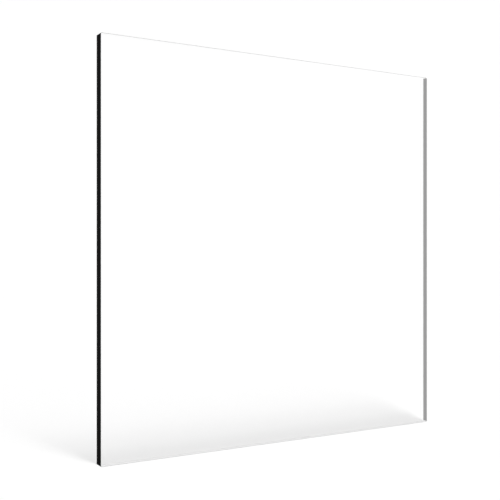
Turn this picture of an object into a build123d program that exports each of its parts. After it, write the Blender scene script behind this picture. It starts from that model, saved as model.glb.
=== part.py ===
from build123d import *
import os

# A clear cast acrylic sheet, cut to a square and finished on its four cut edges.
# It is one solid piece of stock, lying flat on its back face. Sizes are in millimetres.
# X runs across the sheet, Y up the sheet as it is shown upright, and Z through its
# thickness. The origin is the centre of the back face, level with what it lies on.

sheet_width = 300.0     # cut size along X
sheet_height = 300.0    # cut size along Y
gauge = 8.0             # thickness that the sheet was cast to
corner_cut = 0.5        # sharp point filed off each corner of the outline, at 45 degrees
arris = 0.2             # sharp rim scraped off both faces, at 45 degrees

with BuildPart() as acrylic_sheet:
    # The cut outline, raised from the back face to the front face
    with BuildSketch(Plane.XY) as outline:
        Rectangle(sheet_width, sheet_height)
        chamfer(outline.vertices(), length=corner_cut)
    extrude(amount=gauge)

    # The scraper runs right round each face, so its break follows the corners too
    faces = acrylic_sheet.faces().filter_by(Axis.Z)
    chamfer(faces.edges(), length=arris)

acrylic_sheet.part.label = "acrylic_sheet"

os.makedirs("parts", exist_ok=True)
export_step(acrylic_sheet.part, "parts/acrylic_sheet.step")
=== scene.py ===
import math

import bmesh
import bpy
from mathutils import Matrix, Vector


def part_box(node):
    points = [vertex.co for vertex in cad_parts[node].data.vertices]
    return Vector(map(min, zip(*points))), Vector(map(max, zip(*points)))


# A square of clear cast acrylic sheet, lying on a white studio floor. Its solid comes from
# the frame, in metres: +X runs across the sheet, +Y up it as it is shown upright, and +Z
# out of its front face.

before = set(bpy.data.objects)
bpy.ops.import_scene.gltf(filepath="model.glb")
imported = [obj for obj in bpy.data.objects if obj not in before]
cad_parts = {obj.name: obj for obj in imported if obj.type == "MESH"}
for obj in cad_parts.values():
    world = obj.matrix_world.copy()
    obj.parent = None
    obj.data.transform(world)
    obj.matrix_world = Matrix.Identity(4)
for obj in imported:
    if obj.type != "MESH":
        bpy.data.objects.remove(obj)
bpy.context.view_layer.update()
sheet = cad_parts["acrylic_sheet"]
low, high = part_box("acrylic_sheet")
sheet_width = high.x - low.x

# The camera stands over the left of the sheet, all but level with its middle, and is swung
# towards +X, so the left cut edge is seen from outside and the right one through the sheet.
# Its up is the sheet's own +Y, so those two edges stay upright in the picture.

lens_length = 60.5                     # millimetres
film_width = 36.0                      # millimetres
camera_left = 1.1967 * sheet_width     # from the sheet's middle, along -X
camera_drop = 0.0006 * sheet_width     # and along -Y
camera_height = 1.8346 * sheet_width   # over the front face
camera_swing = math.radians(30.87)     # from straight down
nearest_seen = 0.01                    # metres


def new_object(name, data):
    """Put a camera, mesh or lamp in the scene as an object of that name."""
    made = bpy.data.objects.new(name, data)
    bpy.context.collection.objects.link(made)
    return made


camera_data = bpy.data.cameras.new("camera")
camera_data.lens = lens_length
camera_data.sensor_width = film_width
camera_data.clip_start = nearest_seen
camera = new_object("camera", camera_data)

looking = Vector((math.sin(camera_swing), 0, -math.cos(camera_swing)))
upward = Vector((0, 1, 0))
camera.location = (-camera_left, -camera_drop, high.z + camera_height)
camera.rotation_mode = "QUATERNION"
axes = Matrix((looking.cross(upward), upward, -looking)).transposed()
camera.rotation_quaternion = axes.to_quaternion()
bpy.context.scene.camera = camera

# The sheet is PMMA, cast between two plates of glass, so its faces have the gloss of the
# plates and only a faint long wave. It was sawn square, its four ends were milled smooth,
# and a scraper broke their rims. The ends are the only part that the eye can catch.


def linear(code):
    """A colour written as sRGB hex, as the linear RGBA that a shader takes."""
    channels = [int(code[start:start + 2], 16) / 255 for start in (0, 2, 4)]
    return [c / 12.92 if c <= 0.04045 else ((c + 0.055) / 1.055) ** 2.4 for c in channels] + [1.0]


def emptied(owner):
    """The node tree of a material or of the world, with its starting nodes taken out."""
    owner.use_nodes = True
    owner.node_tree.nodes.clear()
    return owner.node_tree


def add(tree, kind, inputs, **settings):
    """Add one node, with its settings, and with each input either linked or set."""
    made = tree.nodes.new("ShaderNode" + kind)
    for name, value in settings.items():
        setattr(made, name, value)
    for name, value in inputs.items():
        if isinstance(value, bpy.types.NodeSocket):
            tree.links.new(value, made.inputs[name])
        else:
            made.inputs[name].default_value = value
    return made


pmma_ior = 1.49
clear = linear("FFFFFF")               # cast PMMA passes about 92 percent, the rest is gloss
face_roughness = 0.0                   # as the polished plates left it
wave_length = 0.040                    # metres, of the long wave in a cast face
wave_detail = 1.0                      # one finer wave on top of the long one
wave_depth = 0.000004                  # metres
face_steepness = 0.9                   # |normal Z| of the faces is 1, of an arris 0.71
lower_end_lean = 0.5                   # normal Y of that end is 1 from inside, of its rims 0.71
painted_shade_of_ends_outside = linear("181818")         # painted shade: the ends are painted dark for the light that enters them and is caught between the faces
painted_grey_of_ends_inside = linear("939393")         # painted shade of an end seen through the sheet, at a slant
painted_tone_of_lower_end = linear("F0F0F0")   # painted shade of the lower end seen through the sheet, paler, where it lies on the floor's shade
level_only = (1, 1, 0)                 # keeps a direction's X and Y
slant_blend = 0.75                     # makes the slant 1 less the square of the cosine
slant_of_grey = 0.80                   # up to this slant an end is its full grey
slant_of_clear = 0.98                  # and from this one on it is clear
mill_mark_spacing = 0.0005             # metres, one pass of the cutter's tooth
mill_mark_depth = 0.000001             # metres
mill_roughness = 0.15                  # a milled edge is satin, just short of a polish
stopped = linear("000000")             # light on its way to the floor by the lower end

acrylic = bpy.data.materials.new("cast_pmma_clear")
tree = emptied(acrylic)

# The ends and their rims are told from the faces by the way that they point
place = add(tree, "TexCoord", {})
points_to = add(tree, "SeparateXYZ", {"Vector": place.outputs["Normal"]})
steepness = add(tree, "Math", {0: points_to.outputs["Z"]}, operation="ABSOLUTE")
is_cut = add(tree, "Math", {0: steepness.outputs[0], 1: face_steepness}, operation="LESS_THAN")

# The lower end too. A hit from inside has its normal turned inwards, so it is along +Y
is_lower = add(tree, "Math", {
    0: points_to.outputs["Y"], 1: lower_end_lean}, operation="GREATER_THAN")

# The cast faces
wave = add(tree, "TexNoise", {
    "Vector": place.outputs["Object"], "Scale": 1 / wave_length, "Detail": wave_detail})
wave_bump = add(tree, "Bump", {"Height": wave.outputs["Fac"], "Distance": wave_depth})
faces = add(tree, "BsdfPrincipled", {
    "Base Color": clear, "Roughness": face_roughness, "IOR": pmma_ior, "Transmission Weight": 1.0,
    "Normal": wave_bump.outputs["Normal"]})

# The milled ends: cutter marks run across the thickness, and repeat along each end. From
# outside they are a gloss painted dark, a painted shade for the little light that comes back out
# of them
where = add(tree, "SeparateXYZ", {"Vector": place.outputs["Object"]})
along = add(tree, "Math", {0: where.outputs["X"], 1: where.outputs["Y"]}, operation="ADD")
marks = add(tree, "TexNoise", {
    "W": along.outputs[0], "Scale": 1 / mill_mark_spacing}, noise_dimensions="1D")
mark_bump = add(tree, "Bump", {"Height": marks.outputs["Fac"], "Distance": mill_mark_depth})
outside = add(tree, "BsdfGlossy", {
    "Color": painted_shade_of_ends_outside, "Roughness": mill_roughness, "Normal": mark_bump.outputs["Normal"]})

# From inside, an end and its rims are painted shade, one even grey, which thins to clear where
# the end is looked along. It stands in for the light caught between the faces, which isn't
# traced. The rims take the slant of their end, so their normal is levelled first
side = add(tree, "NewGeometry", {})
levelled = add(tree, "VectorMath", {
    0: side.outputs["Normal"], 1: level_only}, operation="MULTIPLY")
end_way = add(tree, "VectorMath", {0: levelled.outputs[0]}, operation="NORMALIZE")
slant = add(tree, "LayerWeight", {"Blend": slant_blend, "Normal": end_way.outputs[0]})
flatness = add(tree, "MapRange", {
    "Value": slant.outputs["Facing"], "From Min": slant_of_grey, "From Max": slant_of_clear})
grey = add(tree, "Mix", {0: flatness.outputs[0], 6: painted_grey_of_ends_inside, 7: clear}, data_type="RGBA")
# The lower end's painted shade is paler than that of the other ends
tone = add(tree, "Mix", {
    0: is_lower.outputs[0], 6: grey.outputs[2], 7: painted_tone_of_lower_end}, data_type="RGBA")
inside = add(tree, "BsdfTransparent", {"Color": tone.outputs[2]})
ends = add(tree, "MixShader", {
    0: side.outputs["Backfacing"], 1: outside.outputs[0], 2: inside.outputs[0]})
body = add(tree, "MixShader", {0: is_cut.outputs[0], 1: faces.outputs[0], 2: ends.outputs[0]})

# Light on its way to the floor goes straight through the sheet, as nearly all of it does
# through the real one. Only what comes by the lower end is stopped. That is a stand-in, and
# not a trait of the plastic: it gives the floor the one soft shade of an upright sheet
comes_by_it = add(tree, "Math", {
    0: is_lower.outputs[0], 1: side.outputs["Backfacing"]}, operation="MULTIPLY")
shade = add(tree, "Mix", {
    0: comes_by_it.outputs[0], 6: clear, 7: stopped}, data_type="RGBA")
passed = add(tree, "BsdfTransparent", {"Color": shade.outputs[2]})
ray = add(tree, "LightPath", {})
bounced = add(tree, "MixShader", {
    0: ray.outputs["Is Diffuse Ray"], 1: body.outputs[0], 2: passed.outputs[0]})
surface = add(tree, "MixShader", {
    0: ray.outputs["Is Shadow Ray"], 1: bounced.outputs[0], 2: passed.outputs[0]})
add(tree, "OutputMaterial", {"Surface": surface.outputs[0]})
sheet.material_slots[0].material = acrylic

# The floor is a wide board painted matt white. It isn't part of the object. Round the sheet
# it takes the lamps' light and the shade, and further out it goes over to plain white.

floor_reach = 14.0                     # metres, from its middle to its edges
floor_clearance = 0.00005              # metres under the sheet's back face
floor_paint = linear("FFFFFF")
plain_white = 1.0                      # the strength of glow at which it shows as white
near_glow = 0.24                       # share of plain white that the camera sees in it
glow_starts = 0.5                      # metres from the sheet's middle
glow_whole = 2.0                       # from here on the floor is plain white


def looked_at(tree):
    """1 on a ray from the camera, off a gloss or through the clear body, and 0 on any other."""
    ray = add(tree, "LightPath", {})
    direct = add(tree, "Math", {
        0: ray.outputs["Is Camera Ray"], 1: ray.outputs["Is Glossy Ray"]}, operation="MAXIMUM")
    seen = add(tree, "Math", {
        0: direct.outputs[0], 1: ray.outputs["Is Transmission Ray"]}, operation="MAXIMUM")
    return seen.outputs[0]


shape = bmesh.new()
bmesh.ops.create_grid(shape, x_segments=1, y_segments=1, size=floor_reach)
bmesh.ops.translate(shape, verts=shape.verts, vec=(0, 0, low.z - floor_clearance))
floor_mesh = bpy.data.meshes.new("studio_floor")
shape.to_mesh(floor_mesh)
shape.free()
floor = new_object("studio_floor", floor_mesh)

paint = bpy.data.materials.new("matt_white_paint")
tree = emptied(paint)
spot = add(tree, "TexCoord", {})
away = add(tree, "VectorMath", {0: spot.outputs["Object"]}, operation="LENGTH")
spread = add(tree, "MapRange", {
    "Value": away.outputs["Value"], "From Min": glow_starts, "From Max": glow_whole,
    "To Min": near_glow, "To Max": 1.0})
share = add(tree, "Math", {0: looked_at(tree), 1: spread.outputs[0]}, operation="MULTIPLY")
matt = add(tree, "BsdfDiffuse", {"Color": floor_paint})
glow = add(tree, "Emission", {"Color": floor_paint, "Strength": plain_white})
mixed = add(tree, "MixShader", {
    0: share.outputs[0], 1: matt.outputs[0], 2: glow.outputs[0]})
add(tree, "OutputMaterial", {"Surface": mixed.outputs[0]})
floor_mesh.materials.append(paint)

# The room is plain white all round, as the camera, the gloss and the clear body see it. Its
# light on the floor comes from the lamps alone.

room_white = linear("FFFFFF")

room = bpy.data.worlds.new("white_room")
bpy.context.scene.world = room
tree = emptied(room)
white = add(tree, "Background", {"Color": room_white, "Strength": looked_at(tree)})
add(tree, "OutputWorld", {"Surface": white.outputs[0]})

# Three softboxes light it: one overhead, and two stacked well to the right and in front,
# whose low light lays the lower end's shade out to the left. The stack is small from here,
# so the shade has firm sides. The gloss shows the white room, so no lamp is mirrored in it.


def softbox(name, place, across, tall, level):
    """A lamp turned to the sheet, in metres, that lights white paint there to the level."""
    reach = Vector(place)
    data = bpy.data.lights.new(name, "AREA")
    data.shape = "RECTANGLE"
    data.size = across
    data.size_y = tall
    # From far off, a watt lights the paint by the lamp's height / (pi ** 2 * reach ** 3)
    data.energy = level * math.pi ** 2 * reach.length ** 3 / reach.z
    lamp = new_object(name, data)
    lamp.location = reach
    lamp.rotation_mode = "QUATERNION"
    lamp.rotation_quaternion = reach.to_track_quat("Z", "Y")
    lamp.visible_glossy = False
    lamp.visible_transmission = False


softbox("overhead_softbox", place=(0.0, 0.0, 6.0), across=0.6, tall=0.6, level=0.752)
softbox("low_softbox", place=(10.85, -5.0, 1.12), across=2.5, tall=2.2, level=0.128)
softbox("high_softbox", place=(10.43, -4.98, 3.22), across=5.2, tall=4.7, level=0.157)

# Colours show as they are written.

bpy.context.scene.view_settings.view_transform = "Standard"
